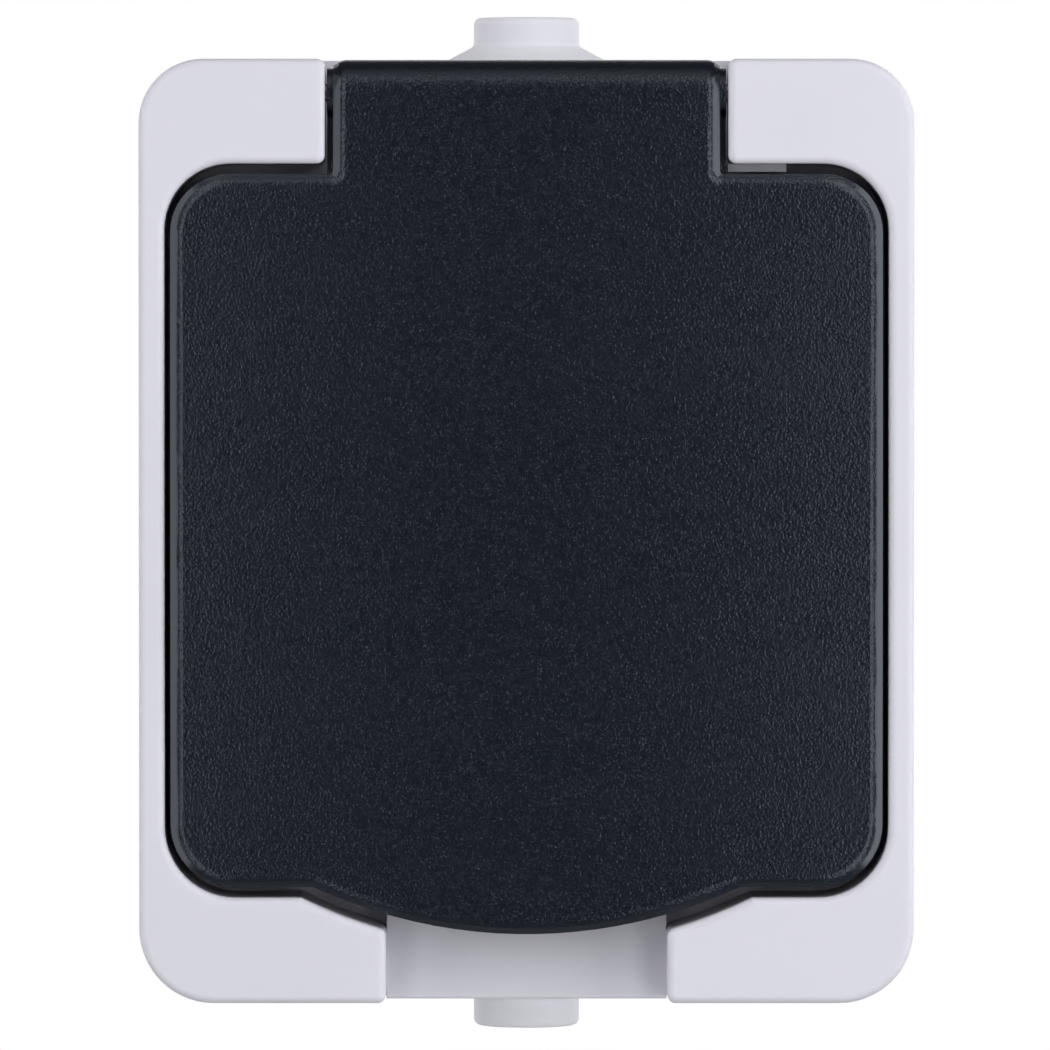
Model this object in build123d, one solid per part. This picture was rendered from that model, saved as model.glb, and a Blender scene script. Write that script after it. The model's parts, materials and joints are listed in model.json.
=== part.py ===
from build123d import *
import math
import os

# Outdoor weatherproof socket for a wall, with a spring lid. Sizes are in mm.
# Frame: X to the right, Z up, the wall plane at Y = 0 and the front towards -Y.
# Heights called low and high are distances from the wall towards the front.

# Housing
WIDTH = 66.0
HEIGHT = 80.4
DEPTH = 52.0
COVER_DEPTH = 22.0
TOP_CORNER_R = 5.5
BOTTOM_CORNER_R = 6.4
FRONT_EDGE_R = 0.65
FRAME_CORNER_R = 0.7
BASE_INSET = 0.3
BASE_WALL = 2.4
BASE_FLOOR = 2.5
BASE_EDGE = 0.6

# Lid pocket in the front cover
RAIL = 2.2
SHOULDER_H = 8.9
FOOT_H = 9.0
POCKET_DEPTH = 10.0
POCKET_TOP_R = 5.6
POCKET_BOTTOM_R = 6.0
BAY_W = 34.3
COVER_SKIN = 2.0
LIP_R = 42.5
LIP_LOW = 34.35
LIP_GAP = 1.3
NOTCH_W = 24.0
NOTCH_LIP_DEPTH = 5.7
NOTCH_LEAN = 0.8
NOTCH_TOP_GAP = 1.5
NOTCH_EDGE_R = 0.3

# Joint between base box and front cover
TONGUE_H = 3.0
TONGUE_T = 1.1
TONGUE_GAP = 0.2
SEAL_T = 1.4

# Lid
LID_SIDE_GAP = 0.5
LID_TOP_GAP = 0.9
LID_BOTTOM_GAP = 0.9
LID_TOP_R = 5.0
LID_BOTTOM_R = 5.4
LID_BLEND_R = 1.5
LID_NECK_R = 0.3
LID_BEVEL_W = 0.75
LID_BEVEL_T = 0.45
LID_BEVEL_R = 1.2
LID_CROWN_R = 1200.0
LID_PROUD = 0.3
LID_WALL = 2.0
LID_SKIRT = 1.6
LID_BACK_GAP = 2.0
LIP_T = 2.6
LIP_ROLL_H = 5.5
LIP_ROLL_R = 32.0
NECK_GAP = 0.7

# Hinge
HINGE_R = 2.8
HINGE_TOP_GAP = 0.05
KNUCKLE_W = 5.0
COLLAR_R = 2.1
COLLAR_GAP = 0.15
PIN_R = 0.8
PIN_LENGTH = 11.0
PIN_RUN_GAP = 0.06
PIN_SEAT_GAP = 0.02
PIN_WALL_INSET = 0.1
STOP_ANGLE = 121.0
STOP_W = 12.0
STOP_T = 1.6

# Lid spring
WIRE_R = 0.25
ELBOW_R = 0.28
COIL_R = 1.25
COIL_TURNS = 3.625
COIL_PITCH = 0.62
COIL_GAP = 0.2
LEG_DROP = 7.2
LEG_REACH = 4.6
LEG_HOOK = 1.6
HOOK_WEB_T = 1.3
HOOK_WEB_R = 1.3
HOOK_HOLE_GAP = 0.08

# Plug well
WELL_R = 20.0
WELL_DEPTH = 17.5
WELL_WALL = 2.2
WELL_FLOOR = 2.5
RIM_EDGE = 0.5
FLANGE_R = 25.0
FLANGE_T = 1.5
FLANGE_SEAL_T = 1.2
WELL_HOLE_GAP = 0.3
PIN_SPACING = 19.0
PIN_HOLE_R = 2.7
PIN_HOLE_SINK = 0.6
KEY_W = 4.5
KEY_H = 1.7
KEY_LENGTH = 14.0
LID_SEAL_T = 2.3
LID_SEAL_GAP = 0.1
LID_SEAL_IN = 0.2
LID_SEAL_W = 3.4
SEAL_RIB_T = 1.0
SEAL_RIB_H = 1.2
SEAL_RIB_GAP = 0.1

# Carrier and contacts
POST_H = 4.5
CARRIER_TOP_GAP = 7.6
CARRIER_W = 44.0
CARRIER_H = 36.0
CARRIER_R = 4.0
TOWER_W = 9.0
TOWER_H = 12.0
TOWER_GAP = 0.2
STRIP_T = 0.8
STRIP_W = 6.0
CLIP_GAP = 5.2
CLIP_BED = 3.0
CLIP_TOP_GAP = 1.6
CHAMBER_GAP = 0.4
TAB_SINK = 3.0
TAB_L = 6.4
CLAMP_SIDE = 6.6
CLAMP_T = 1.2
CLAMP_GAP = 3.2

# Earth strap
STRAP_W = 8.0
STRAP_T = 0.9
STRAP_ARM_GAP = 0.6
STRAP_TOP_GAP = 1.2
NOSE_REACH = 2.0
NOSE_DROP = 4.2
NOSE_H = 3.0
SLOT_GAP = 0.6
EARTH_TAB_Z = -12.5
EARTH_CLAMP_GAP = 1.4

# Screws
SCREW_R = 1.75
SCREW_GAP = 0.08
HEAD_R = 3.0
HEAD_T = 2.0
HEAD_EDGE = 0.5
HEAD_GAP = 0.4
DRIVE_L = 3.2
DRIVE_W = 0.8
DRIVE_DEPTH = 1.1
CLEAR_HOLE_GAP = 0.2
HOLE_SPARE = 1.0
COVER_SCREW_AT = 23.5
COVER_SCREW_L = 22.0
COVER_SCREW_SINK = 3.0
PILLAR_R = 4.2
CARRIER_SCREW_X = 16.5
CARRIER_SCREW_Z = 12.5
CARRIER_SCREW_TIP = 3.0
TERMINAL_SCREW_L = 9.0
INSERT_SCREW_R = 1.5
INSERT_SCREW_L = 16.0
INSERT_HEAD_R = 2.7
WALL_HOLE_X = 22.0
WALL_HOLE_Z = 28.0
WALL_HOLE_R = 2.25
WALL_BOSS_R = 5.0
WALL_BOSS_H = 2.0

# Cable grommets
GLAND_DROP = 10.0
GLAND_END = 44.4
GLAND_R = 4.63
GLAND_SHOULDER = 41.9
GLAND_CONE_R = 7.8
GLAND_FLANGE_T = 0.3
GLAND_NECK_R = 6.0
GLAND_GROOVE_GAP = 0.1
GLAND_LOCK_R = 7.4
GLAND_LOCK_T = 1.2
GLAND_WALL = 1.2
GLAND_END_R = 0.6
GLAND_BLEND_R = 0.5

# Rib under the right shoulder
RIB_W = 5.0
RIB_H = 0.7
RIB_FRONT = 3.0
RIB_L = 5.0

SPLIT = DEPTH - COVER_DEPTH
POCKET_LOW = DEPTH - POCKET_DEPTH
COVER_LOW = POCKET_LOW - COVER_SKIN
INNER_INSET = BASE_INSET + BASE_WALL
HALF_W = WIDTH / 2
HALF_H = HEIGHT / 2
POCKET_TOP = HALF_H - SHOULDER_H
POCKET_BOTTOM = -HALF_H + FOOT_H
LIP_CENTRE = LIP_R - LIP_LOW
LID_HALF_W = HALF_W - RAIL - LID_SIDE_GAP
LID_TOP = POCKET_TOP - LID_TOP_GAP
LID_BOTTOM = POCKET_BOTTOM + LID_BOTTOM_GAP
LID_LOW = POCKET_LOW + LID_BACK_GAP
NECK_HALF_W = BAY_W / 2 - NECK_GAP
HINGE_Z = HALF_H - HINGE_TOP_GAP - HINGE_R
CROWN_OUT = DEPTH + LID_PROUD - LID_CROWN_R
HINGE_OUT = CROWN_OUT + math.sqrt((LID_CROWN_R - HINGE_R) ** 2 - HINGE_Z ** 2)
LID_INNER = DEPTH - LID_WALL
RIM_OUT = LID_INNER - LID_SEAL_T - LID_SEAL_GAP
WELL_LOW = RIM_OUT - WELL_DEPTH
WELL_BACK = WELL_LOW - WELL_FLOOR
FLANGE_LOW = POCKET_LOW + FLANGE_SEAL_T
LEDGE = SPLIT + TONGUE_H + SEAL_T
PIN_X = PIN_SPACING / 2
PIN_OUTER = BAY_W / 2 + COVER_SKIN - PIN_WALL_INSET
KNUCKLE_IN = NECK_HALF_W - KNUCKLE_W
ARM_Z = WELL_R + WELL_WALL + STRAP_ARM_GAP
COVER_HEAD_SEAT = POCKET_LOW - COVER_SCREW_SINK
CARRIER_LOW = BASE_FLOOR + POST_H
CARRIER_HIGH = WELL_BACK - CARRIER_TOP_GAP
CLIP_LOW = CARRIER_LOW + CLIP_BED
CLIP_HIGH = WELL_BACK - CLIP_TOP_GAP
TAB_LOW = CARRIER_HIGH - TAB_SINK
TAB_X = CARRIER_W / 2 - HEAD_R
LINE_SEAT = TAB_LOW + STRIP_T + CLAMP_GAP + CLAMP_T
EARTH_SEAT = CARRIER_HIGH + STRAP_T + EARTH_CLAMP_GAP + CLAMP_T
STRAP_HIGH = COVER_LOW - STRAP_TOP_GAP
NOSE_HIGH = STRAP_HIGH - NOSE_DROP
NOSE_LOW = NOSE_HIGH - NOSE_H
GLAND_OUT = SPLIT - GLAND_DROP


# Helpers

def prism(outline, low, high):
    """Raise a front-view outline between two heights above the wall."""
    return extrude(Plane.XZ.offset(low) * outline, high - low)


def bar(profile, left, right):
    """Run a side-view profile, drawn in Y and Z, from left to right."""
    return extrude(Plane.YZ.offset(left) * profile, right - left)


def rod(x, z, radius, low, high):
    """Round rod that stands on the wall direction."""
    return prism(Pos(x, z) * Circle(radius), low, high)


def block(left, right, bottom, top, low, high):
    """Plain block between two heights."""
    outline = Pos((left + right) / 2, (bottom + top) / 2) * Rectangle(right - left, top - bottom)
    return prism(outline, low, high)


def rounded(half_w, bottom, top, bottom_r, top_r):
    """Upright rectangle with its own radius at the top and bottom corners."""
    face = Pos(0, (top + bottom) / 2) * Rectangle(2 * half_w, top - bottom)
    face = fillet(face.vertices().group_by(Axis.Y)[-1], top_r)
    return fillet(face.vertices().group_by(Axis.Y)[0], bottom_r)


def near(vertices, points, reach=0.05):
    """Those vertices of a front-view outline that lie at the points given."""
    return [v for v in vertices if any(abs(v.X - x) + abs(v.Y - z) < reach for x, z in points)]


def side_profile(points):
    """Closed side-view polygon from (height above the wall, z) pairs."""
    return make_face(Polyline(*[(-out, z) for out, z in points], close=True))


def housing_outline(inset):
    return rounded(HALF_W - inset, inset - HALF_H, HALF_H - inset,
                   BOTTOM_CORNER_R - inset, TOP_CORNER_R - inset)


def housing_ring(outer, inner, low, high):
    return prism(housing_outline(outer) - housing_outline(inner), low, high)


def pan_screw(x, z, radius, head_r, seat, length):
    """Pan-head screw with a cross recess, whose head rests on the seat height."""
    head = rod(x, z, head_r, seat, seat + HEAD_T)
    head = chamfer(head.faces().sort_by(Axis.Y)[0].edges(), HEAD_EDGE)
    top = seat + HEAD_T
    for half_w, half_h in ((DRIVE_L / 2, DRIVE_W / 2), (DRIVE_W / 2, DRIVE_L / 2)):
        head -= block(x - half_w, x + half_w, z - half_h, z + half_h, top - DRIVE_DEPTH, top)
    return head + rod(x, z, radius, seat - length, seat)


def cover_screw_places():
    return [(-COVER_SCREW_AT, COVER_SCREW_AT), (COVER_SCREW_AT, -COVER_SCREW_AT)]


def carrier_screw_places():
    return [(-CARRIER_SCREW_X, CARRIER_SCREW_Z), (CARRIER_SCREW_X, -CARRIER_SCREW_Z)]


def wall_hole_places():
    return [(WALL_HOLE_X, WALL_HOLE_Z), (-WALL_HOLE_X, -WALL_HOLE_Z)]


# Base box

def base_box():
    body = prism(housing_outline(BASE_INSET), 0, SPLIT)
    body = chamfer(body.faces().sort_by(Axis.Y)[-1].edges(), BASE_EDGE)
    body -= prism(housing_outline(INNER_INSET), BASE_FLOOR, SPLIT)
    body += housing_ring(INNER_INSET - TONGUE_T, INNER_INSET, SPLIT - BASE_WALL, SPLIT + TONGUE_H)
    for x, z in cover_screw_places():
        body += rod(x, z, PILLAR_R, BASE_FLOOR, SPLIT)
        body -= rod(x, z, SCREW_R + SCREW_GAP, COVER_HEAD_SEAT - COVER_SCREW_L - HOLE_SPARE, SPLIT)
    for x, z in carrier_screw_places():
        body += rod(x, z, PILLAR_R, BASE_FLOOR, CARRIER_LOW)
        body -= rod(x, z, SCREW_R + SCREW_GAP, CARRIER_SCREW_TIP - HOLE_SPARE, CARRIER_LOW)
    for x, z in wall_hole_places():
        body += rod(x, z, WALL_BOSS_R, BASE_FLOOR, BASE_FLOOR + WALL_BOSS_H)
        body -= rod(x, z, WALL_HOLE_R, 0, BASE_FLOOR + WALL_BOSS_H)
    entry = Cylinder(GLAND_NECK_R, 2 * HEIGHT)
    return body - Pos(0, -GLAND_OUT, 0) * entry


# Front cover

def pocket_outline(grow):
    """Opening for the lid, its neck and its lower lip, grown on every side."""
    pocket = rounded(HALF_W - RAIL + grow, POCKET_BOTTOM - grow, POCKET_TOP + grow,
                     POCKET_BOTTOM_R + grow, POCKET_TOP_R + grow)
    pocket += Pos(0, HALF_H / 2) * Rectangle(BAY_W + 2 * grow, HEIGHT)
    lip = Pos(0, LIP_CENTRE) * Circle(LIP_R + LIP_GAP + grow)
    lip &= Pos(0, POCKET_BOTTOM) * Rectangle(BAY_W + SHOULDER_H, 2 * FOOT_H)
    pocket += lip
    return pocket + Pos(0, -HALF_H / 2) * Rectangle(NOTCH_W + 2 * grow, HEIGHT)


def front_frame():
    """Rails, shoulders and feet that stand round the pocket."""
    outline = housing_outline(0) - pocket_outline(0)
    lip_z = LIP_CENTRE - math.sqrt((LIP_R + LIP_GAP) ** 2 - (NOTCH_W / 2) ** 2)
    corners = []
    for side in (-1, 1):
        corners += [(side * BAY_W / 2, HALF_H), (side * BAY_W / 2, POCKET_TOP)]
        corners += [(side * NOTCH_W / 2, lip_z), (side * NOTCH_W / 2, -HALF_H)]
    outline = fillet(near(outline.vertices(), corners), FRAME_CORNER_R)
    frame = prism(outline, POCKET_LOW, DEPTH)
    edges = frame.edges().filter_by(lambda e: e.bounding_box().max.Y < 0.01 - DEPTH)
    return fillet(edges, FRONT_EDGE_R)


def finger_recess():
    """Wall at the back of the finger recess, leaning back a little towards the lid."""
    front = DEPTH - NOTCH_LIP_DEPTH
    top = -LIP_LOW + NOTCH_TOP_GAP
    points = [(POCKET_LOW, top), (front - NOTCH_LEAN, top), (front, -HALF_H), (POCKET_LOW, -HALF_H)]
    wall = bar(side_profile(points), -NOTCH_W / 2, NOTCH_W / 2)
    edges = wall.edges().filter_by(Axis.X).sort_by(Axis.Y)[:2]
    return fillet(edges, NOTCH_EDGE_R)


def stop_shelf():
    """Shelf behind the barrel where the open lid comes to rest."""
    top = HINGE_Z - HINGE_R * math.sin(math.radians(STOP_ANGLE - 90))
    tip = HINGE_OUT - HINGE_R / 2
    points = [(POCKET_LOW, top), (tip, top), (tip, top - STOP_T), (POCKET_LOW, top - STOP_T)]
    return bar(side_profile(points), -STOP_W / 2, STOP_W / 2)


def front_cover():
    body = front_frame() + prism(housing_outline(0), SPLIT, POCKET_LOW) + finger_recess()
    body -= prism(housing_outline(INNER_INSET), SPLIT, COVER_LOW)
    body -= prism(housing_outline(INNER_INSET - TONGUE_T - TONGUE_GAP), SPLIT, LEDGE)
    hollow = housing_outline(INNER_INSET) - pocket_outline(COVER_SKIN)
    body -= prism(hollow, COVER_LOW - COVER_SKIN, DEPTH - COVER_SKIN)
    for x, z in cover_screw_places():
        body += rod(x, z, PILLAR_R, SPLIT, COVER_LOW)
        body -= rod(x, z, SCREW_R + CLEAR_HOLE_GAP, SPLIT, POCKET_LOW)
        body -= rod(x, z, HEAD_R + HEAD_GAP, COVER_HEAD_SEAT, POCKET_LOW)
    body -= rod(0, 0, WELL_R + WELL_WALL + WELL_HOLE_GAP, COVER_LOW, POCKET_LOW)
    body += stop_shelf()
    body += housing_hook()
    rib_high = DEPTH - RIB_FRONT
    rib_left = BAY_W / 2
    body += block(rib_left, rib_left + RIB_W, POCKET_TOP - RIB_H, POCKET_TOP, rib_high - RIB_L, rib_high)
    bore = Pos(-HINGE_OUT, HINGE_Z) * Circle(PIN_R + PIN_SEAT_GAP)
    for side in (-1, 1):
        wall = side * (BAY_W / 2 + COVER_SKIN / 2)
        body -= bar(bore, wall - COVER_SKIN / 2, wall + COVER_SKIN / 2)
    return body


def cover_gasket():
    inset = INNER_INSET - TONGUE_T
    return housing_ring(inset, INNER_INSET, SPLIT + TONGUE_H, LEDGE)


# Socket insert

def socket_insert():
    body = rod(0, 0, WELL_R + WELL_WALL, WELL_BACK, RIM_OUT)
    body += rod(0, 0, FLANGE_R, FLANGE_LOW, FLANGE_LOW + FLANGE_T)
    body -= rod(0, 0, WELL_R, WELL_LOW, RIM_OUT)
    rim = body.edges().filter_by(GeomType.CIRCLE).filter_by(lambda e: e.center().Y < 0.01 - RIM_OUT)
    body = chamfer(rim, RIM_EDGE)
    for side in (-1, 1):
        key = side * (WELL_R - KEY_H / 2)
        low, high = key - KEY_H / 2, key + KEY_H / 2
        body += block(low, high, -KEY_W / 2, KEY_W / 2, WELL_LOW, WELL_LOW + KEY_LENGTH)
        body -= rod(side * PIN_X, 0, PIN_HOLE_R, WELL_BACK, WELL_LOW)
        slot = side * (ARM_Z - NOSE_REACH - STRAP_ARM_GAP)
        reach = NOSE_REACH + WELL_WALL + STRAP_ARM_GAP
        half = STRAP_W / 2 + SLOT_GAP
        body -= block(-half, half, slot - reach, slot + reach, WELL_BACK, STRAP_HIGH + SLOT_GAP)
    holes = body.edges().filter_by(GeomType.CIRCLE)
    mouths = holes.filter_by(lambda e: abs(e.radius - PIN_HOLE_R) < 0.01 and e.center().Y < 0.1 - WELL_LOW)
    body = chamfer(mouths, PIN_HOLE_SINK)
    return body - rod(0, 0, INSERT_SCREW_R + CLEAR_HOLE_GAP, WELL_BACK, WELL_LOW)


def insert_seal():
    inner = WELL_R + WELL_WALL + WELL_HOLE_GAP
    return prism(Circle(FLANGE_R) - Circle(inner), POCKET_LOW, FLANGE_LOW)


def insert_screw():
    return pan_screw(0, 0, INSERT_SCREW_R, INSERT_HEAD_R, WELL_LOW, INSERT_SCREW_L)


# Carrier and contacts

def contact_carrier():
    body = prism(RectangleRounded(CARRIER_W, CARRIER_H, CARRIER_R), CARRIER_LOW, CARRIER_HIGH)
    tower_high = WELL_BACK - TOWER_GAP
    half_z = CLIP_GAP / 2 + STRIP_T + CHAMBER_GAP
    half_x = STRIP_W / 2 + CHAMBER_GAP
    for side in (-1, 1):
        x = side * PIN_X
        body += block(x - TOWER_W / 2, x + TOWER_W / 2, -TOWER_H / 2, TOWER_H / 2, CARRIER_HIGH, tower_high)
    for side in (-1, 1):
        x = side * PIN_X
        body -= block(x - half_x, x + half_x, -half_z, half_z, CLIP_LOW, tower_high)
        seat = sorted([side * (TAB_X - TAB_L / 2 - CHAMBER_GAP), side * CARRIER_W])
        body -= block(seat[0], seat[1], -CLAMP_SIDE / 2 - CHAMBER_GAP, CLAMP_SIDE / 2 + CHAMBER_GAP,
                      TAB_LOW, tower_high)
        link = sorted([x, side * (TAB_X - TAB_L / 2 + STRIP_T)])
        body -= block(link[0], link[1], -STRIP_W / 2 - CHAMBER_GAP, STRIP_W / 2 + CHAMBER_GAP,
                      CLIP_LOW, CARRIER_HIGH)
        hole_low = LINE_SEAT - TERMINAL_SCREW_L - HOLE_SPARE
        body -= rod(side * TAB_X, 0, SCREW_R + CLEAR_HOLE_GAP, hole_low, TAB_LOW)
    for x, z in carrier_screw_places():
        body -= rod(x, z, SCREW_R + CLEAR_HOLE_GAP, CARRIER_LOW, CARRIER_HIGH)
    earth_low = EARTH_SEAT - TERMINAL_SCREW_L - HOLE_SPARE
    body -= rod(0, EARTH_TAB_Z, SCREW_R + CLEAR_HOLE_GAP, earth_low, CARRIER_HIGH)
    insert_low = WELL_LOW - INSERT_SCREW_L - HOLE_SPARE
    return body - rod(0, 0, INSERT_SCREW_R + CLEAR_HOLE_GAP, insert_low, CARRIER_HIGH)


def contact(side):
    """Spring clip for one plug pin with a strip out to its terminal tab."""
    x = side * PIN_X
    half = CLIP_GAP / 2
    outer = half + STRIP_T
    body = block(x - STRIP_W / 2, x + STRIP_W / 2, -outer, outer, CLIP_LOW, CLIP_HIGH)
    body -= block(x - STRIP_W / 2, x + STRIP_W / 2, -half, half, CLIP_LOW + STRIP_T, CLIP_HIGH)
    riser = TAB_X - TAB_L / 2
    link = sorted([x, side * (riser + STRIP_T)])
    body += block(link[0], link[1], -STRIP_W / 2, STRIP_W / 2, CLIP_LOW, CLIP_LOW + STRIP_T)
    rise = sorted([side * riser, side * (riser + STRIP_T)])
    body += block(rise[0], rise[1], -STRIP_W / 2, STRIP_W / 2, CLIP_LOW, TAB_LOW + STRIP_T)
    tab = sorted([side * riser, side * (riser + TAB_L)])
    body += block(tab[0], tab[1], -STRIP_W / 2, STRIP_W / 2, TAB_LOW, TAB_LOW + STRIP_T)
    return body - rod(side * TAB_X, 0, SCREW_R + SCREW_GAP, TAB_LOW, TAB_LOW + STRIP_T)


def earth_arm():
    """Upper half of the strap in side view: base, arm and the clip nose in the well."""
    low = CARRIER_HIGH
    nose = WELL_R - NOSE_REACH
    path = [(low, 0), (low, ARM_Z + STRAP_T), (STRAP_HIGH, ARM_Z + STRAP_T), (STRAP_HIGH, ARM_Z - STRAP_T)]
    path += [(NOSE_HIGH, nose), (NOSE_LOW, WELL_R), (NOSE_LOW, WELL_R + STRAP_T), (NOSE_HIGH, nose + STRAP_T)]
    path += [(STRAP_HIGH - STRAP_T, ARM_Z - STRAP_T), (STRAP_HIGH - STRAP_T, ARM_Z)]
    path += [(low + STRAP_T, ARM_Z), (low + STRAP_T, 0)]
    return bar(side_profile(path), -STRAP_W / 2, STRAP_W / 2)


def earth_strap():
    upper = earth_arm()
    body = upper + mirror(upper, about=Plane.XY)
    body -= rod(0, 0, INSERT_SCREW_R + SCREW_GAP, CARRIER_HIGH, CARRIER_HIGH + STRAP_T)
    return body - rod(0, EARTH_TAB_Z, SCREW_R + SCREW_GAP, CARRIER_HIGH, CARRIER_HIGH + STRAP_T)


def clamp(x, z, seat):
    """Square clamp plate under a terminal screw head."""
    half = CLAMP_SIDE / 2
    low = seat - CLAMP_T
    plate = block(x - half, x + half, z - half, z + half, low, seat)
    return plate - rod(x, z, SCREW_R + SCREW_GAP, low, seat)


def terminal_screws():
    screws = [pan_screw(side * TAB_X, 0, SCREW_R, HEAD_R, LINE_SEAT, TERMINAL_SCREW_L) for side in (-1, 1)]
    screws.append(pan_screw(0, EARTH_TAB_Z, SCREW_R, HEAD_R, EARTH_SEAT, TERMINAL_SCREW_L))
    return screws


def carrier_screws():
    length = CARRIER_HIGH - CARRIER_SCREW_TIP
    return [pan_screw(x, z, SCREW_R, HEAD_R, CARRIER_HIGH, length) for x, z in carrier_screw_places()]


def cover_screws():
    return [pan_screw(x, z, SCREW_R, HEAD_R, COVER_HEAD_SEAT, COVER_SCREW_L) for x, z in cover_screw_places()]


# Lid

def lid_outline():
    face = rounded(LID_HALF_W, LID_BOTTOM, LID_TOP, LID_BOTTOM_R, LID_TOP_R)
    face += Pos(0, HALF_H / 2) * Rectangle(2 * NECK_HALF_W, HEIGHT)
    lip = Pos(0, LIP_CENTRE) * Circle(LIP_R)
    lip &= Pos(0, LID_BOTTOM) * Rectangle(2 * LID_HALF_W, 2 * FOOT_H)
    face += lip
    lip_x = math.sqrt(LIP_R ** 2 - (LIP_CENTRE - LID_BOTTOM) ** 2)
    face = fillet(near(face.vertices(), [(-lip_x, LID_BOTTOM), (lip_x, LID_BOTTOM)]), LID_BLEND_R)
    necks = [(-NECK_HALF_W, LID_TOP), (NECK_HALF_W, LID_TOP)]
    return fillet(near(face.vertices(), necks), LID_NECK_R)


def lid_profile():
    """Side view of the lid: a crowned face that runs into the hinge barrel and rolls back at the lip."""
    def crown(z):
        return CROWN_OUT + math.sqrt(LID_CROWN_R ** 2 - z ** 2)
    low_z = -HALF_H
    roll_z = LIP_ROLL_H - LIP_LOW
    share = (LID_CROWN_R - LIP_ROLL_R) / LID_CROWN_R
    roll_centre = (CROWN_OUT + share * (crown(roll_z) - CROWN_OUT), share * roll_z)

    def roll(z):
        return roll_centre[0] + math.sqrt(LIP_ROLL_R ** 2 - (z - roll_centre[1]) ** 2)
    tilt = math.asin(HINGE_Z / (LID_CROWN_R - HINGE_R))
    touch = (-(HINGE_OUT + HINGE_R * math.cos(tilt)), HINGE_Z + HINGE_R * math.sin(tilt))
    turn = math.radians(135)
    over = (-(HINGE_OUT + HINGE_R * math.cos(turn)), HINGE_Z + HINGE_R * math.sin(turn))
    back = (-(HINGE_OUT - HINGE_R), HINGE_Z)
    mid_z = (roll_z + low_z) / 2
    roll_arc = ThreePointArc((-roll(low_z), low_z), (-roll(mid_z), mid_z), (-crown(roll_z), roll_z))
    face_arc = ThreePointArc((-crown(roll_z), roll_z), (-crown(0), 0), touch)
    barrel_arc = ThreePointArc(touch, over, back)
    bend = (back[0], HINGE_Z - HINGE_R)
    foot = (-LID_LOW, LID_TOP - LID_SKIRT)
    rest = Polyline(back, bend, foot, (-LID_LOW, low_z), (-roll(low_z), low_z))
    return make_face([roll_arc, face_arc, barrel_arc, *rest.edges()])


def lid_blank():
    """Solid lid with a bevel round its face that blends softly into the crown."""
    body = bar(lid_profile(), -HALF_W, HALF_W) & prism(lid_outline(), SPLIT, DEPTH + POCKET_DEPTH)
    body -= block(-HALF_W, HALF_W, -HALF_H, LID_BOTTOM, LID_LOW, DEPTH - LIP_T)
    face = body.faces().sort_by(SortBy.AREA).filter_by(lambda f: f.normal_at(f.center()).Y < -0.9)[-1]
    side = face.edges().filter_by(lambda e: e.center().X > LID_HALF_W - LID_BEVEL_W)
    body = chamfer(side, LID_BEVEL_W, LID_BEVEL_T, reference=face)
    face = body.faces().sort_by(SortBy.AREA).filter_by(lambda f: f.normal_at(f.center()).Y < -0.9)[-1]
    side = face.edges().filter_by(lambda e: e.center().X > LID_HALF_W - 2 * LID_BEVEL_W)
    return fillet(side, LID_BEVEL_R)


def lid_cavity():
    """Hollow behind the lid face, with the spring bay in the neck."""
    main = rounded(LID_HALF_W - LID_SKIRT, LID_BOTTOM + LID_SKIRT, LID_TOP - LID_SKIRT,
                   LID_BOTTOM_R - LID_SKIRT, LID_TOP_R - LID_SKIRT)
    hollow = prism(main, SPLIT, LID_INNER)
    neck_top = HINGE_Z - HINGE_R - LID_SKIRT / 2
    half = NECK_HALF_W - LID_SKIRT
    hollow += block(-half, half, 0, neck_top, SPLIT, LID_INNER)
    hollow += block(-KNUCKLE_IN, KNUCKLE_IN, 0, HALF_H, SPLIT, HINGE_OUT)
    hollow += block(-KNUCKLE_IN, KNUCKLE_IN, 0, HINGE_Z, SPLIT, LID_INNER)
    bay = Pos(-HINGE_OUT, HINGE_Z) * Circle(COIL_R + WIRE_R + COIL_GAP)
    return hollow + bar(bay, -KNUCKLE_IN, KNUCKLE_IN)


def seal_ribs():
    """Two rings that hold the lid gasket."""
    inner = WELL_R - LID_SEAL_IN - SEAL_RIB_GAP
    outer = WELL_R - LID_SEAL_IN + LID_SEAL_W + SEAL_RIB_GAP
    low = LID_INNER - SEAL_RIB_H
    ring = prism(Circle(outer + SEAL_RIB_T) - Circle(outer), low, LID_INNER)
    return ring + prism(Circle(inner) - Circle(inner - SEAL_RIB_T), low, LID_INNER)


def neck_sides():
    """Collars round the pins and webs below them, which close the gaps beside the neck."""
    sides = []
    for side in (-1, 1):
        ends = sorted([side * NECK_HALF_W, side * (BAY_W / 2 - COLLAR_GAP)])
        web = bar(lid_profile(), ends[0], ends[1])
        web &= block(ends[0], ends[1], LID_TOP - LID_SKIRT, HINGE_Z, LID_LOW, HINGE_OUT)
        sides.append(web + bar(Pos(-HINGE_OUT, HINGE_Z) * Circle(COLLAR_R), ends[0], ends[1]))
    return sides


def lid():
    body = lid_blank() - lid_cavity()
    for piece in neck_sides():
        body += piece
    body += seal_ribs()
    body += lid_hook()
    bore = Pos(-HINGE_OUT, HINGE_Z) * Circle(PIN_R + PIN_RUN_GAP)
    for side in (-1, 1):
        ends = sorted([side * KNUCKLE_IN, side * BAY_W / 2])
        body -= bar(bore, ends[0], ends[1])
    return body


def lid_gasket():
    inner = WELL_R - LID_SEAL_IN
    return prism(Circle(inner + LID_SEAL_W) - Circle(inner), RIM_OUT + LID_SEAL_GAP, LID_INNER)


def hinge_pin(side):
    ends = sorted([side * PIN_OUTER, side * (PIN_OUTER - PIN_LENGTH)])
    return bar(Pos(-HINGE_OUT, HINGE_Z) * Circle(PIN_R), ends[0], ends[1])


# Lid spring

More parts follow.
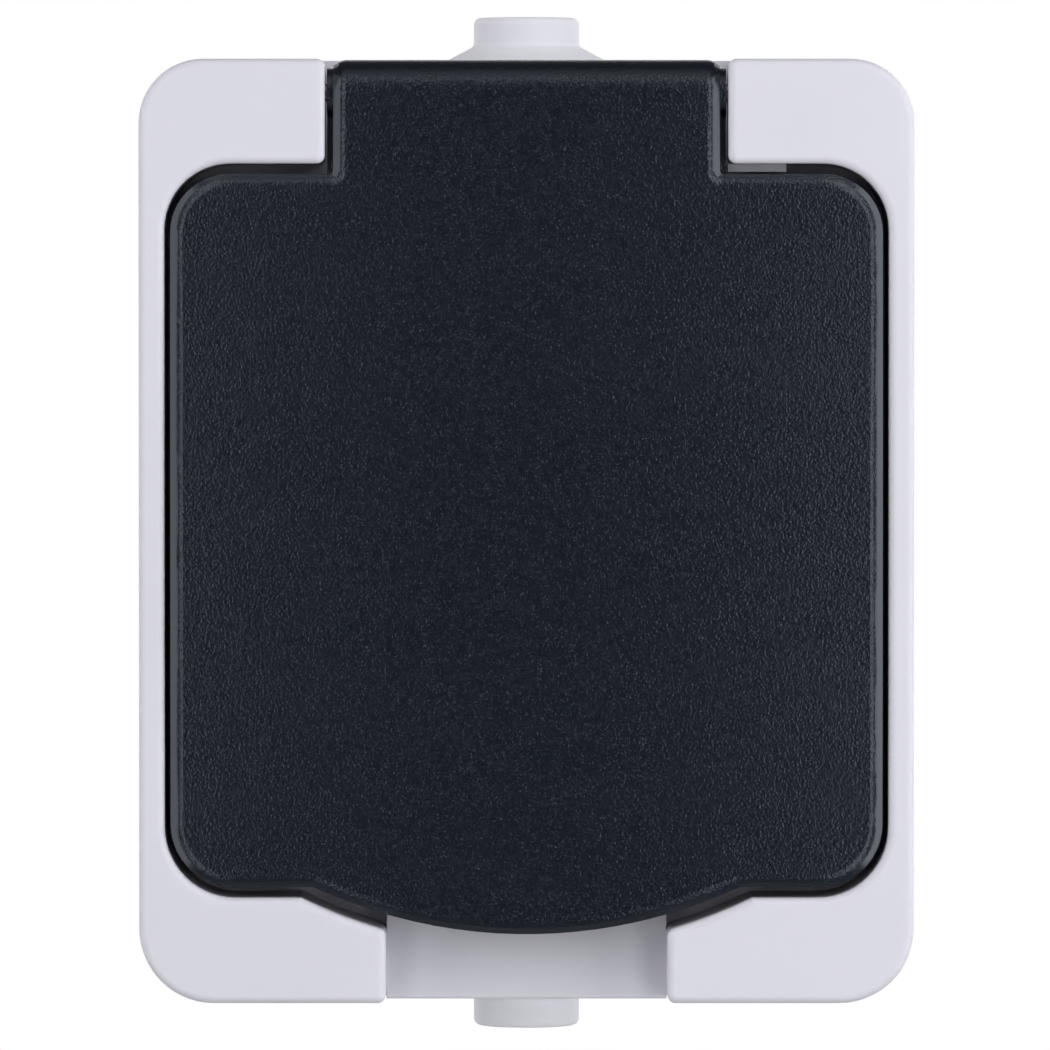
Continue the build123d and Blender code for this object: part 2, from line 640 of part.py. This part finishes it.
COIL_RIGHT = KNUCKLE_IN - COIL_GAP - WIRE_R
COIL_RUN = COIL_TURNS * COIL_PITCH
COIL_LEFT = COIL_RIGHT - COIL_RUN
LEG_OUT = HINGE_OUT - COIL_R
LEG_Z = HINGE_Z - LEG_DROP
REACH = LEG_REACH * math.sqrt(0.5)
HOOK_OUT = HINGE_OUT + COIL_R * math.sqrt(0.5) - REACH
HOOK_Z = HINGE_Z - COIL_R * math.sqrt(0.5) - REACH


def wire(start, end):
    """Straight piece of spring wire between two (x, height above the wall, z) places."""
    path = Line(*[(x, -out, z) for x, out, z in (start, end)])
    return sweep(Plane(origin=path @ 0, z_dir=path % 0) * Circle(WIRE_R), path=path)


def elbow(x, out, z):
    return Pos(x, -out, z) * Sphere(ELBOW_R)


def lid_spring():
    """Left-hand coil that starts at the back and ends in front, with a hooked leg at each end."""
    helix = Helix(COIL_PITCH, COIL_RUN, COIL_R, lefthand=True)
    coil = sweep(Plane(origin=helix @ 0, z_dir=helix % 0) * Circle(WIRE_R), path=helix, is_frenet=True)
    seat = Plane(origin=(COIL_RIGHT, -HINGE_OUT, HINGE_Z), x_dir=(0, 1, 0), z_dir=(-1, 0, 0))
    leave_out = HINGE_OUT + COIL_R * math.sqrt(0.5)
    leave_z = HINGE_Z - COIL_R * math.sqrt(0.5)
    spring = seat * coil + elbow(COIL_RIGHT, LEG_OUT, HINGE_Z) + elbow(COIL_LEFT, leave_out, leave_z)
    spring += wire((COIL_RIGHT, LEG_OUT, LEG_Z), (COIL_RIGHT, LEG_OUT, HINGE_Z))
    spring += elbow(COIL_RIGHT, LEG_OUT, LEG_Z)
    spring += wire((COIL_RIGHT, LEG_OUT, LEG_Z), (COIL_RIGHT + LEG_HOOK, LEG_OUT, LEG_Z))
    spring += wire((COIL_LEFT, leave_out, leave_z), (COIL_LEFT, HOOK_OUT, HOOK_Z))
    spring += elbow(COIL_LEFT, HOOK_OUT, HOOK_Z)
    return spring + wire((COIL_LEFT, HOOK_OUT, HOOK_Z), (COIL_LEFT - LEG_HOOK, HOOK_OUT, HOOK_Z))


def housing_hook():
    """Web on the pocket floor that takes the fixed leg of the spring."""
    left = COIL_RIGHT + WIRE_R + COIL_GAP
    web = block(left, left + HOOK_WEB_T, LEG_Z - HOOK_WEB_R, LEG_Z + HOOK_WEB_R,
                POCKET_LOW, LEG_OUT + HOOK_WEB_R)
    hole = Pos(-LEG_OUT, LEG_Z) * Circle(WIRE_R + HOOK_HOLE_GAP)
    return web - bar(hole, left, left + HOOK_WEB_T)


def lid_hook():
    """Web inside the neck that takes the moving leg of the spring."""
    right = COIL_LEFT - WIRE_R - COIL_GAP
    web = block(right - HOOK_WEB_T, right, HOOK_Z - HOOK_WEB_R, HOOK_Z + HOOK_WEB_R,
                HOOK_OUT - HOOK_WEB_R, LID_INNER)
    hole = Pos(-HOOK_OUT, HOOK_Z) * Circle(WIRE_R + HOOK_HOLE_GAP)
    return web - bar(hole, right - HOOK_WEB_T, right)


# Cable grommets

def grommet():
    """Closed stepped grommet, drawn for the top wall."""
    wall_out = HALF_H - BASE_INSET
    wall_in = wall_out - BASE_WALL
    neck = GLAND_NECK_R - GLAND_GROOVE_GAP
    lock_low = wall_in - GLAND_LOCK_T
    bore = GLAND_R - GLAND_WALL
    mouth = neck - GLAND_WALL
    points = [(0, GLAND_END), (GLAND_R, GLAND_END), (GLAND_R, GLAND_SHOULDER)]
    points += [(GLAND_CONE_R, wall_out + GLAND_FLANGE_T), (GLAND_CONE_R, wall_out), (neck, wall_out)]
    points += [(neck, wall_in), (GLAND_LOCK_R, wall_in), (GLAND_LOCK_R, lock_low), (mouth, lock_low)]
    points += [(mouth, wall_out), (bore, GLAND_SHOULDER - GLAND_WALL / 2), (bore, GLAND_END - GLAND_WALL)]
    points += [(0, GLAND_END - GLAND_WALL)]
    face = make_face(Polyline(*points, close=True))
    face = fillet(near(face.vertices(), [(GLAND_R, GLAND_END)]), GLAND_END_R)
    face = fillet(near(face.vertices(), [(GLAND_R, GLAND_SHOULDER)]), GLAND_BLEND_R)
    return Pos(0, -GLAND_OUT, 0) * revolve(Plane.XZ * face, Axis.Z)


def nodes():
    top = grommet()
    made = {
        "base_box": base_box(),
        "front_cover": front_cover(),
        "cover_gasket": cover_gasket(),
        "cover_screws": cover_screws(),
        "socket_insert": socket_insert(),
        "insert_seal": insert_seal(),
        "insert_screw": insert_screw(),
        "contact_carrier": contact_carrier(),
        "carrier_screws": carrier_screws(),
        "live_contact": contact(1),
        "neutral_contact": contact(-1),
        "earth_strap": earth_strap(),
        "live_clamp": clamp(TAB_X, 0, LINE_SEAT),
        "neutral_clamp": clamp(-TAB_X, 0, LINE_SEAT),
        "earth_clamp": clamp(0, EARTH_TAB_Z, EARTH_SEAT),
        "terminal_screws": terminal_screws(),
        "lid": lid(),
        "lid_gasket": lid_gasket(),
        "left_hinge_pin": hinge_pin(-1),
        "right_hinge_pin": hinge_pin(1),
        "lid_spring": lid_spring(),
        "top_grommet": top,
        "bottom_grommet": mirror(top, about=Plane.XY),
    }
    return made


os.makedirs("parts", exist_ok=True)
for name, shape in nodes().items():
    if isinstance(shape, list):
        shape = Compound(shape)
    export_step(shape, f"parts/{name}.step")
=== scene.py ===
import json
import math

import bpy
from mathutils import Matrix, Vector


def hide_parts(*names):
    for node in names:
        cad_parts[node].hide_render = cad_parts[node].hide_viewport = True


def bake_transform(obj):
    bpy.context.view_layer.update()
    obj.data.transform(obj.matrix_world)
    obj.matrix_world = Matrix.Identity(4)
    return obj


# Looks of the outdoor weatherproof socket. The frame is in metres, sizes here are in millimetres.
MM = 0.001

# Camera: straight in front of the lid and a little above its middle
CAMERA_DISTANCE = 850.0
FRONT_OUT = 52.0
FRAME_WIDTH = 89.25
CAMERA_X = -0.13
CAMERA_Z = 23.0
CAMERA_NEAR = 10.0
AIM_Z = 0.57

# Floor: white to the camera, and white in reflections where it lies behind the object, with a share of shade
FLOOR_Z = -650.0
FLOOR_SIDE = 1600.0
FLOOR_CORNER_R = 30.0
FLOOR_CORNER_STEPS = 4
FLOOR_WHITE_FROM = -60.0
FLOOR_WHITE_FULL = 120.0
FLOOR_SHADE_SHARE = 0.15

# Room: an even dim light, and a white backdrop within these angles from straight behind, in degrees
AMBIENT_LEVEL = 0.105
BACKDROP_LEVEL = 1.0
BACKDROP_REACH = 35.0
BACKDROP_FULL = 20.0

# Lamps: each pair stands on the right, as given, and mirrored on the left, with powers in watts
STRIP_PLACE = (102.0, -265.0, 30.0)
STRIP_SIZE = (64.0, 640.0)
STRIP_POWER = {"right": 0.32, "left": 0.245}
SOFTBOX_PLACE = (315.0, -190.0, 20.0)
SOFTBOX_SIZE = (250.0, 700.0)
SOFTBOX_POWER = {"right": 1.43, "left": 0.90}
TOP_PLACE = (0.0, -320.0, 560.0)
TOP_SIZE = (640.0, 520.0)
TOP_POWER = 0.36
BACK_FILL_PLACE = (300.0, 320.0, 60.0)
BACK_FILL_SIZE = (220.0, 600.0)
BACK_FILL_POWER = {"right": 0.85, "left": 0.70}
FRONT_AIM = (0.0, -50.0, 0.0)
TOP_AIM = (0.0, -40.0, 0.0)
BACK_AIM = (0.0, -20.0, 0.0)

# Lid spring, with the sizes of the solid that it stands for
WIRE_R = 0.25
COIL_R = 1.25
COIL_TURNS = 3.625
COIL_PITCH = 0.62
COIL_RIGHT = 11.0
LEG_DROP = 7.2
LEG_REACH = 4.6
LEG_HOOK = 1.6
BEND_R = 0.45

# Fineness of the spring's mesh
BEND_STEPS = 6
COIL_STEPS = 40
WIRE_SIDES = 14

# Colours as they are in plain light
HOUSING_GREY = (0.650, 0.645, 0.713, 1.0)
INSERT_GREY = (0.690, 0.690, 0.745, 1.0)
GROMMET_GREY = (0.830, 0.825, 0.885, 1.0)
CARRIER_CREAM = (0.72, 0.69, 0.60, 1.0)
LID_BLACK = (0.0020, 0.0036, 0.0086, 1.0)
LID_SHEEN = (0.82, 0.90, 1.0, 1.0)
RUBBER_BLACK = (0.012, 0.012, 0.013, 1.0)
BRASS = (0.80, 0.58, 0.24, 1.0)
NICKEL = (0.66, 0.63, 0.58, 1.0)
ZINC = (0.62, 0.63, 0.66, 1.0)
STEEL = (0.56, 0.56, 0.58, 1.0)
FLOOR_COLOUR = (0.72, 0.72, 0.73, 1.0)
AMBIENT_COLOUR = (0.97, 0.98, 1.0, 1.0)
WHITE = (1.0, 1.0, 1.0, 1.0)

# Looks of the slots that share a material function
MOULDINGS = {
    "housing_plastic": dict(colour=HOUSING_GREY, edge_mm=0.15, grain_mm=0.16, depth_mm=0.004, rough=0.46),
    "insert_plastic": dict(colour=INSERT_GREY, edge_mm=0.15, grain_mm=0.14, depth_mm=0.003, rough=0.42),
    "carrier_plastic": dict(colour=CARRIER_CREAM, edge_mm=0.2, grain_mm=0.25, depth_mm=0.006, rough=0.55),
    "grommet_plastic": dict(colour=GROMMET_GREY, edge_mm=0.2, grain_mm=0.14, depth_mm=0.003, rough=0.52),
}
DRAWN_METALS = {
    "brass_strip": dict(colour=BRASS, rough=0.26, along="Y"),
    "nickel_strip": dict(colour=NICKEL, rough=0.28, along="Z"),
    "pin_steel": dict(colour=STEEL, rough=0.22, along="X"),
}

# Shading: where noise has its lows and highs, how long drawing lines are, and samples for soft edges
PATTERN_LOW = 0.3
PATTERN_HIGH = 0.7
DRAWN_STRETCH = 14.0
EDGE_SAMPLES = 3

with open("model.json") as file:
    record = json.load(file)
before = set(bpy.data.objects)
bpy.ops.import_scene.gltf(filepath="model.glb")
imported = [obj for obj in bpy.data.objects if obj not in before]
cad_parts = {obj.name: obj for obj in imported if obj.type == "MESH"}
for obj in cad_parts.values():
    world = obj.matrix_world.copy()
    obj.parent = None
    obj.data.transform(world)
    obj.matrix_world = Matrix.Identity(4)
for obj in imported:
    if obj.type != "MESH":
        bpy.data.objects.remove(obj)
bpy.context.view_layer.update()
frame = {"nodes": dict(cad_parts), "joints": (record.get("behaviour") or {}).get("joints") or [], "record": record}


# Shader helpers

class Shader:
    """A material's node tree with short calls to add and join nodes."""

    def __init__(self, name):
        self.material = bpy.data.materials.new(name)
        self.material.use_nodes = True
        self.tree = self.material.node_tree
        self.surface = self.tree.nodes["Principled BSDF"]
        coordinates = self.add("ShaderNodeTexCoord")
        self.place = coordinates.outputs["Object"]
        self.shape = coordinates.outputs["Normal"]

    def add(self, kind, settings=None, **values):
        """New node with its settings and the values of its sockets."""
        made = self.tree.nodes.new(kind)
        for key, value in (settings or {}).items():
            setattr(made, key, value)
        for key, value in values.items():
            made.inputs[key.replace("_", " ")].default_value = value
        return made

    def join(self, output, node, socket):
        self.tree.links.new(output, node.inputs[socket])

    def set(self, socket, value):
        """Constant on a socket of the surface."""
        self.surface.inputs[socket].default_value = value

    def mapped(self, stretch):
        """Place on the object, with the pattern drawn out along the axes by stretch."""
        if stretch is None:
            return self.place
        mapping = self.add("ShaderNodeMapping", Scale=[1 / s for s in stretch])
        self.join(self.place, mapping, "Vector")
        return mapping.outputs["Vector"]

    def noise(self, size_mm, detail, stretch=None):
        """Noise whose features are about size_mm across."""
        texture = self.add("ShaderNodeTexNoise", Scale=1 / (size_mm * MM), Detail=detail)
        self.join(self.mapped(stretch), texture, "Vector")
        return texture.outputs["Fac"]

    def spread(self, value, low, high, start=PATTERN_LOW, end=PATTERN_HIGH):
        """Maps a value from its range start to end onto the range low to high."""
        node = self.add("ShaderNodeMapRange", From_Min=start, From_Max=end, To_Min=low, To_Max=high)
        self.join(value, node, "Value")
        return node.outputs["Result"]

    def tint(self, value, colour, dark):
        """Colour that sinks to a share of itself where the pattern is low."""
        ramp = self.add("ShaderNodeValToRGB")
        low, high = ramp.color_ramp.elements
        low.position = PATTERN_LOW
        low.color = (*[c * dark for c in colour[:3]], 1.0)
        high.position = PATTERN_HIGH
        high.color = colour
        self.join(value, ramp, "Fac")
        self.join(ramp.outputs["Color"], self.surface, "Base Color")

    def not_sideways(self, full, none):
        """1 where the surface turns to a side by up to full degrees, down to 0 at none degrees."""
        axes = self.add("ShaderNodeSeparateXYZ")
        self.join(self.shape, axes, "Vector")
        side = self.add("ShaderNodeMath", {"operation": "ABSOLUTE"})
        self.join(axes.outputs["X"], side, "Value")
        start = math.sin(math.radians(full))
        end = math.sin(math.radians(none))
        return self.spread(side.outputs["Value"], 1.0, 0.0, start, end)

    def bump(self, height, depth_mm, below=None, share=None):
        """Normal of a relief, on top of the normal below and only as strong as share says."""
        node = self.add("ShaderNodeBump", Strength=1.0, Distance=depth_mm * MM)
        self.join(height, node, "Height")
        if share is not None:
            self.join(share, node, "Strength")
        if below is not None:
            self.join(below, node, "Normal")
        return node.outputs["Normal"]

    def soft_edges(self, radius_mm):
        """Normal that rounds the sharp edges in the shading."""
        bevel = self.add("ShaderNodeBevel", {"samples": EDGE_SAMPLES}, Radius=radius_mm * MM)
        return bevel.outputs["Normal"]

    def finish(self, roughness, normal):
        self.join(roughness, self.surface, "Roughness")
        self.join(normal, self.surface, "Normal")
        return self.material


# Materials

def moulded_plastic(name, colour, edge_mm, grain_mm, depth_mm, rough):
    """Satin moulded plastic: eroded-tool texture, faint flow clouds and softened edges."""
    s = Shader(name)
    s.set("Specular IOR Level", 0.38)
    s.tint(s.noise(size_mm=16.0, detail=1.0), colour, dark=0.975)
    normal = s.soft_edges(edge_mm)
    normal = s.bump(s.noise(grain_mm, detail=1.0), depth_mm, below=normal)
    normal = s.bump(s.noise(size_mm=9.0, detail=0.0), depth_mm=0.02, below=normal)
    roughness = s.spread(s.noise(size_mm=3.0, detail=1.0), low=rough - 0.05, high=rough + 0.07)
    return s.finish(roughness, normal)


def grained_lid(name):
    """Black plastic with a fine leather grain on the face and smooth side bevels."""
    s = Shader(name)
    s.set("Specular IOR Level", 0.67)
    s.set("Specular Tint", LID_SHEEN)
    s.tint(s.noise(size_mm=7.0, detail=1.0), LID_BLACK, dark=0.88)
    face = s.not_sideways(full=10.0, none=24.0)
    normal = s.bump(s.noise(size_mm=5.0, detail=0.0), depth_mm=0.008)
    normal = s.bump(s.noise(size_mm=0.22, detail=0.0), depth_mm=0.021, below=normal, share=face)
    normal = s.bump(s.noise(size_mm=0.14, detail=1.0), depth_mm=0.028, below=normal, share=face)
    roughness = s.spread(s.noise(size_mm=0.5, detail=1.0), low=0.165, high=0.225)
    return s.finish(roughness, normal)


def rubber(name):
    """Soft black seal: dull, slightly dusty and with fine pores."""
    s = Shader(name)
    s.set("Specular IOR Level", 0.25)
    s.tint(s.noise(size_mm=2.5, detail=4.0), RUBBER_BLACK, dark=0.6)
    normal = s.soft_edges(radius_mm=0.15)
    normal = s.bump(s.noise(size_mm=0.15, detail=3.0), depth_mm=0.01, below=normal)
    roughness = s.spread(s.noise(size_mm=1.2, detail=2.0), low=0.62, high=0.82)
    return s.finish(roughness, normal)


def drawn_metal(name, colour, rough, along):
    """Bare or plated metal with drawing lines along one axis and dull spots."""
    s = Shader(name)
    s.set("Metallic", 1.0)
    s.tint(s.noise(size_mm=1.6, detail=3.0), colour, dark=0.82)
    stretch = [DRAWN_STRETCH if axis == along else 1.0 for axis in "XYZ"]
    normal = s.soft_edges(radius_mm=0.08)
    normal = s.bump(s.noise(size_mm=0.10, detail=2.0, stretch=stretch), depth_mm=0.006, below=normal)
    roughness = s.spread(s.noise(size_mm=0.9, detail=3.0), low=rough - 0.08, high=rough + 0.14)
    return s.finish(roughness, normal)


def plated_screw(name):
    """Zinc plate: bluish, cloudy and a little grainy."""
    s = Shader(name)
    s.set("Metallic", 1.0)
    s.tint(s.noise(size_mm=0.8, detail=4.0), ZINC, dark=0.7)
    normal = s.soft_edges(radius_mm=0.1)
    normal = s.bump(s.noise(size_mm=0.12, detail=3.0), depth_mm=0.008, below=normal)
    roughness = s.spread(s.noise(size_mm=0.4, detail=2.0), low=0.26, high=0.46)
    return s.finish(roughness, normal)


def make_materials():
    """One material for each slot of the record."""
    made = {slot: moulded_plastic(slot, **look) for slot, look in MOULDINGS.items()}
    made.update({slot: drawn_metal(slot, **look) for slot, look in DRAWN_METALS.items()})
    made["lid_plastic"] = grained_lid("lid_plastic")
    made["seal_rubber"] = rubber("seal_rubber")
    made["zinc_steel"] = plated_screw("zinc_steel")
    return made


def dress_nodes(materials):
    """Gives each CAD node the material of its slot."""
    for part in frame["record"]["subparts"]:
        mesh = frame["nodes"][part["node"]].data
        mesh.materials.clear()
        mesh.materials.append(materials[part["material_slot"]])


# Things in the scene

def link_object(name, data):
    """Object for a mesh, lamp or camera, linked into the scene."""
    made = bpy.data.objects.new(name, data)
    bpy.context.scene.collection.objects.link(made)
    return made


def aimed_object(name, data, place, aim):
    """Lamp or camera at its place, turned towards its aim."""
    made = link_object(name, data)
    made.location = Vector(place) * MM
    made.rotation_euler = (Vector(aim) - Vector(place)).to_track_quat("-Z", "Y").to_euler()
    return made


# Lid spring

def bend(corner, before, after):
    """Points of a round bend at a corner of the wire."""
    start = corner + (before - corner).normalized() * BEND_R
    end = corner + (after - corner).normalized() * BEND_R
    points = []
    for i in range(BEND_STEPS + 1):
        t = i / BEND_STEPS
        points.append(start * (1 - t) ** 2 + corner * 2 * t * (1 - t) + end * t ** 2)
    return points


def spring_line(hinge):
    """Centre line of the wire: fixed hook, coil round the hinge line, moving hook."""
    def on_coil(turn):
        angle = 2 * math.pi * turn
        x = COIL_RIGHT - COIL_PITCH * turn
        return Vector((x, hinge.y + COIL_R * math.cos(angle), hinge.z + COIL_R * math.sin(angle)))

    start = on_coil(0)
    end = on_coil(COIL_TURNS)
    fixed = start - Vector((0, 0, LEG_DROP))
    moving = end + Vector((0, 1, -1)).normalized() * LEG_REACH
    fixed_tip = fixed + Vector((LEG_HOOK, 0, 0))
    moving_tip = moving - Vector((LEG_HOOK, 0, 0))
    steps = round(COIL_TURNS * COIL_STEPS)
    line = [fixed_tip] + bend(fixed, fixed_tip, start)
    line += [on_coil(COIL_TURNS * i / steps) for i in range(steps + 1)]
    return line + bend(moving, end, moving_tip) + [moving_tip]


def tube_points(line, radius, sides):
    """Rings of points round a line, in metres."""
    points = []
    side = Vector((0, 1, 0))
    for i, centre in enumerate(line):
        along = (line[min(i + 1, len(line) - 1)] - line[max(i - 1, 0)]).normalized()
        side = (side - along * side.dot(along)).normalized()
        across = along.cross(side)
        for k in range(sides):
            angle = 2 * math.pi * k / sides
            out = side * math.cos(angle) + across * math.sin(angle)
            points.append((centre + out * radius) * MM)
    return points


def tube_faces(rings, sides):
    """Faces between the rings of a tube and at its two ends."""
    faces = []
    for i in range(rings - 1):
        for k in range(sides):
            a = i * sides + k
            b = i * sides + (k + 1) % sides
            faces.append((a, b, b + sides, a + sides))
    last = (rings - 1) * sides
    faces.append(tuple(reversed(range(sides))))
    faces.append(tuple(range(last, last + sides)))
    return faces


def tube(name, line, radius, sides):
    """Closed round tube along a line of points, given in millimetres."""
    mesh = bpy.data.meshes.new(name)
    mesh.from_pydata(tube_points(line, radius, sides), [], tube_faces(len(line), sides))
    mesh.shade_smooth()
    return link_object(name, mesh)


def lid_spring(materials):
    """Wire in place of the spring's solid, from the housing's end to the lid's end."""
    hinge = Vector(frame["joints"][0]["pos_m"]) / MM
    piece = tube("spring_wire", spring_line(hinge), WIRE_R, WIRE_SIDES)
    piece.data.materials.append(materials["pin_steel"])
    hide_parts("lid_spring")
    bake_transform(piece)


# Stage, light and camera

def whiteness(tree, behind):
    """1 for camera rays, and for reflected or passed rays the share that behind gives."""
    def math_node(operation, first, second):
        node = tree.nodes.new("ShaderNodeMath")
        node.operation = operation
        tree.links.new(first, node.inputs[0])
        tree.links.new(second, node.inputs[1])
        return node.outputs["Value"]

    path = tree.nodes.new("ShaderNodeLightPath")
    other = math_node("MAXIMUM", path.outputs["Is Glossy Ray"], path.outputs["Is Transmission Ray"])
    return math_node("MAXIMUM", path.outputs["Is Camera Ray"], math_node("MULTIPLY", other, behind))


def floor_paper():
    """Pale paper that shows as white, with a trace of shade left in it."""
    s = Shader("floor_paper")
    s.tint(s.noise(size_mm=60.0, detail=3.0), FLOOR_COLOUR, dark=0.98)
    roughness = s.spread(s.noise(size_mm=20.0, detail=2.0), low=0.8, high=0.95)
    s.finish(roughness, s.bump(s.noise(size_mm=1.5, detail=2.0), depth_mm=0.02))
    axes = s.add("ShaderNodeSeparateXYZ")
    s.join(s.place, axes, "Vector")
    behind = s.spread(axes.outputs["Y"], 0.0, 1.0, FLOOR_WHITE_FROM * MM, FLOOR_WHITE_FULL * MM)
    share = s.spread(whiteness(s.tree, behind), 0.0, 1.0 - FLOOR_SHADE_SHARE, 0.0, 1.0)
    white = s.add("ShaderNodeEmission", Color=WHITE, Strength=BACKDROP_LEVEL)
    mix = s.add("ShaderNodeMixShader")
    s.join(share, mix, "Fac")
    s.join(s.surface.outputs["BSDF"], mix, 1)
    s.join(white.outputs["Emission"], mix, 2)
    s.join(mix.outputs["Shader"], s.tree.nodes["Material Output"], "Surface")
    return s.material


def floor():
    """Pale floor with rounded corners, low enough to keep its shadow out of the picture."""
    inner = FLOOR_SIDE / 2 - FLOOR_CORNER_R
    points = []
    for k, (sx, sy) in enumerate(((1, 1), (-1, 1), (-1, -1), (1, -1))):
        for i in range(FLOOR_CORNER_STEPS + 1):
            angle = math.pi / 2 * (k + i / FLOOR_CORNER_STEPS)
            x = sx * inner + FLOOR_CORNER_R * math.cos(angle)
            y = sy * inner + FLOOR_CORNER_R * math.sin(angle)
            points.append(Vector((x, y, FLOOR_Z)) * MM)
    mesh = bpy.data.meshes.new("floor")
    mesh.from_pydata(points, [], [tuple(range(len(points)))])
    mesh.materials.append(floor_paper())
    piece = link_object("floor", mesh)


def soft_lamp(name, place, aim, size, power):
    """Rectangular lamp that the camera doesn't see."""
    lamp = bpy.data.lights.new(name, "AREA")
    lamp.shape = "RECTANGLE"
    lamp.size = size[0] * MM
    lamp.size_y = size[1] * MM
    lamp.energy = power
    aimed_object(name, lamp, place, aim).visible_camera = False


def lamp_pair(name, place, aim, size, power):
    """The same lamp on the right and on the left, each with its own power."""
    x, y, z = place
    for side, sign in (("right", 1), ("left", -1)):
        soft_lamp(f"{side}_{name}", (sign * x, y, z), aim, size, power[side])


def lamps():
    lamp_pair("strip", STRIP_PLACE, FRONT_AIM, STRIP_SIZE, STRIP_POWER)
    lamp_pair("softbox", SOFTBOX_PLACE, FRONT_AIM, SOFTBOX_SIZE, SOFTBOX_POWER)
    soft_lamp("top_softbox", TOP_PLACE, TOP_AIM, TOP_SIZE, TOP_POWER)
    lamp_pair("back_fill", BACK_FILL_PLACE, BACK_AIM, BACK_FILL_SIZE, BACK_FILL_POWER)


def surroundings():
    """Dim even room, with a white backdrop for the camera and for rays that reach it by reflection."""
    world = bpy.data.worlds.new("surroundings")
    world.use_nodes = True
    tree = world.node_tree
    room = tree.nodes["Background"]
    room.inputs["Color"].default_value = AMBIENT_COLOUR
    room.inputs["Strength"].default_value = AMBIENT_LEVEL
    white = tree.nodes.new("ShaderNodeBackground")
    white.inputs["Color"].default_value = WHITE
    white.inputs["Strength"].default_value = BACKDROP_LEVEL
    place = tree.nodes.new("ShaderNodeTexCoord")
    axes = tree.nodes.new("ShaderNodeSeparateXYZ")
    tree.links.new(place.outputs["Generated"], axes.inputs["Vector"])
    behind = tree.nodes.new("ShaderNodeMapRange")
    behind.inputs["From Min"].default_value = math.cos(math.radians(BACKDROP_REACH))
    behind.inputs["From Max"].default_value = math.cos(math.radians(BACKDROP_FULL))
    tree.links.new(axes.outputs["Y"], behind.inputs["Value"])
    mix = tree.nodes.new("ShaderNodeMixShader")
    tree.links.new(whiteness(tree, behind.outputs["Result"]), mix.inputs["Fac"])
    tree.links.new(room.outputs["Background"], mix.inputs[1])
    tree.links.new(white.outputs["Background"], mix.inputs[2])
    tree.links.new(mix.outputs["Shader"], tree.nodes["World Output"].inputs["Surface"])
    bpy.context.scene.world = world


def camera():
    """Camera with the photo's view of the front."""
    view = bpy.data.cameras.new("photo_view")
    view.angle = 2 * math.atan(FRAME_WIDTH / 2 / CAMERA_DISTANCE)
    view.clip_start = CAMERA_NEAR * MM
    place = (CAMERA_X, -FRONT_OUT - CAMERA_DISTANCE, CAMERA_Z)
    aim = (CAMERA_X, -FRONT_OUT, AIM_Z)
    bpy.context.scene.camera = aimed_object("photo_view", view, place, aim)


slot_materials = make_materials()
dress_nodes(slot_materials)
lid_spring(slot_materials)
floor()
lamps()
surroundings()
camera()
bpy.context.scene.view_settings.view_transform = "Standard"
